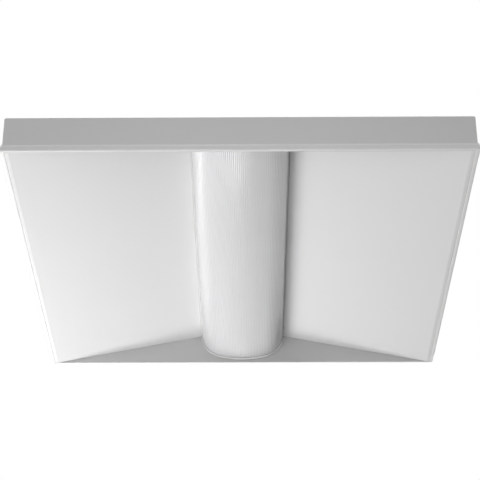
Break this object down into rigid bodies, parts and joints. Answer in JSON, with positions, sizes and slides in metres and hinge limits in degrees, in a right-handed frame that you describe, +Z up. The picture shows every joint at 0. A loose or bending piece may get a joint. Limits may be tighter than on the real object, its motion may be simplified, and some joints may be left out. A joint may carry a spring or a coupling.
{
  "type": "recessed troffer light",
  "caption": "Square recessed ceiling light with sloped white reflectors, a ribbed arc lens that swings down, LED tray, driver and swing-out grid clips.",
  "frame": {"origin": "centre of the face, on the plane of the trim's lower surface", "axes": "+X across the lens, +Y along the lens towards the end that is far in the picture, +Z up into the ceiling"},
  "size_m": [0.6032, 0.6032, 0.0579],
  "materials": {
    "housing_paint": "satin white powder coat on folded steel",
    "trim_paint": "satin white powder coat, rolled edge",
    "reflector_paint": "matt high-reflectance white paint",
    "end_plate_paint": "matt high-reflectance white paint",
    "lens_acrylic": "frosted extruded acrylic with lengthwise ribs",
    "rail_paint": "extruded aluminium, painted white",
    "cap_paint": "satin white paint",
    "zinc_plate": "bright zinc plate",
    "galvanised": "galvanised sheet",
    "spring_steel": "tempered spring steel",
    "tray_aluminium": "mill-finish sheet",
    "board_white": "white solder mask",
    "chip_phosphor": "yellow phosphor under silicone",
    "connector_plastic": "moulded nylon",
    "driver_enamel": "white enamel can",
    "circuit_green": "green solder mask",
    "plug_orange": "moulded plastic",
    "lead_red": "PVC insulation",
    "lead_black": "PVC insulation",
    "lead_white": "PVC insulation",
    "lead_green": "PVC insulation",
    "green_zinc": "green dyed zinc plate"
  },
  "bodies": {
    "housing": {"board_connectors": "connector_plastic", "board_links": "connector_plastic", "board_screws": "zinc_plate", "cover_screws": "zinc_plate", "driver_case": "driver_enamel", "driver_circuit": "circuit_green", "driver_input_terminals": "connector_plastic", "driver_lid": "driver_enamel", "driver_output_terminals": "connector_plastic", "driver_screws": "zinc_plate", "end_plate_far": "end_plate_paint", "end_plate_near": "end_plate_paint", "end_trim_far": "trim_paint", "end_trim_near": "trim_paint", "end_wall_far": "housing_paint", "end_wall_near": "housing_paint", "grid_clip_rivets": "zinc_plate", "ground_lead": "lead_green", "ground_screw": "green_zinc", "ground_terminal": "zinc_plate", "housing_pan": "housing_paint", "housing_screws": "zinc_plate", "jumper_leads": "lead_white", "lead_clips": "connector_plastic", "led_board_1": "board_white", "led_board_2": "board_white", "led_board_3": "board_white", "led_board_4": "board_white", "led_chips": "chip_phosphor", "led_tray": "tray_aluminium", "line_lead": "lead_black", "neutral_lead": "lead_white", "output_lead_negative": "lead_black", "output_lead_positive": "lead_red", "reflector_left": "reflector_paint", "reflector_right": "reflector_paint", "side_trim_left": "trim_paint", "side_trim_right": "trim_paint", "spring_catches": "spring_steel", "strap_left_1": "galvanised", "strap_left_2": "galvanised", "strap_right_1": "galvanised", "strap_right_2": "galvanised", "supply_plug": "plug_orange", "tray_screws": "zinc_plate", "wiring_cover": "housing_paint"},
    "lens_frame": {"lens": "lens_acrylic", "lens_cap_near": "cap_paint", "lens_cap_far": "cap_paint", "hinge_rail": "rail_paint", "latch_rail": "rail_paint", "cap_screws": "zinc_plate"},
    "grid_clip_1": {"grid_clip_1": "galvanised"},
    "grid_clip_2": {"grid_clip_2": "galvanised"},
    "grid_clip_3": {"grid_clip_3": "galvanised"},
    "grid_clip_4": {"grid_clip_4": "galvanised"}
  },
  "joints": [
    {"name": "lens_swing", "type": "hinge", "parent": "housing", "child": "lens_frame", "pos_m": [-0.0665, 0, 0.0467], "axis": [0, 1, 0], "range_deg": [0, 80]},
    {"name": "grid_clip_1_turn", "type": "hinge", "parent": "housing", "child": "grid_clip_1", "pos_m": [-0.28502, -0.2, 0.0519], "axis": [0, 0, 1], "range_deg": [0, 90]},
    {"name": "grid_clip_2_turn", "type": "hinge", "parent": "housing", "child": "grid_clip_2", "pos_m": [-0.28502, 0.2, 0.0519], "axis": [0, 0, -1], "range_deg": [0, 90]},
    {"name": "grid_clip_3_turn", "type": "hinge", "parent": "housing", "child": "grid_clip_3", "pos_m": [0.28502, -0.2, 0.0519], "axis": [0, 0, -1], "range_deg": [0, 90]},
    {"name": "grid_clip_4_turn", "type": "hinge", "parent": "housing", "child": "grid_clip_4", "pos_m": [0.28502, 0.2, 0.0519], "axis": [0, 0, 1], "range_deg": [0, 90]}
  ]
}
